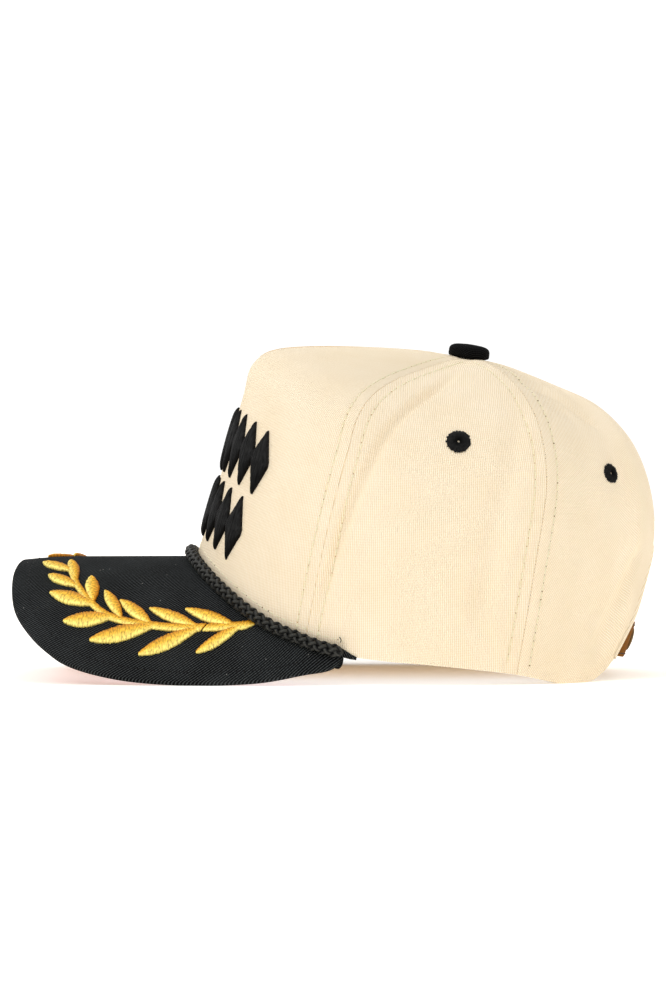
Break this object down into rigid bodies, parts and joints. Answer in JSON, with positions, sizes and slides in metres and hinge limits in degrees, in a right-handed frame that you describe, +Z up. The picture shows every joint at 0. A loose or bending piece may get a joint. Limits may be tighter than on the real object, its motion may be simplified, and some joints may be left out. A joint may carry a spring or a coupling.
{
  "type": "trucker cap",
  "caption": "Rope-front trucker cap: cream crown of sewn panels, arched dark brim with gold laurels, raised front motif, leather strap over a half-moon opening at the back.",
  "frame": {"origin": "on the table, under the middle of the cap's length and width", "axes": "+Z up, the brim points along -Y, the wearer's left is +X"},
  "size_m": [0.168, 0.2777, 0.1457],
  "materials": {
    "cream_twill": "brushed cotton twill",
    "black_twill": "black cotton twill",
    "black_thread": "black embroidery thread",
    "black_cord": "braided black cord",
    "gold_thread": "shiny satin stitch",
    "brown_leather": "smooth tanned leather",
    "white_cotton": "plain cotton",
    "dark_brass": "dull antique brass"
  },
  "bodies": {
    "root": {"front_panel": "cream_twill", "side_panel_left": "cream_twill", "side_panel_right": "cream_twill", "back_panel_left": "cream_twill", "back_panel_right": "cream_twill", "eyelet_side_left": "black_thread", "eyelet_side_right": "black_thread", "eyelet_back_left": "black_thread", "eyelet_back_right": "black_thread", "top_button": "black_twill", "brim": "black_twill", "rope": "black_cord", "motif_upper_row": "black_thread", "motif_lower_row": "black_thread", "laurel_left": "gold_thread", "laurel_right": "gold_thread", "strap_left": "brown_leather", "strap_right": "brown_leather", "strap_stud": "dark_brass", "sweatband": "white_cotton"}
  },
  "joints": []
}
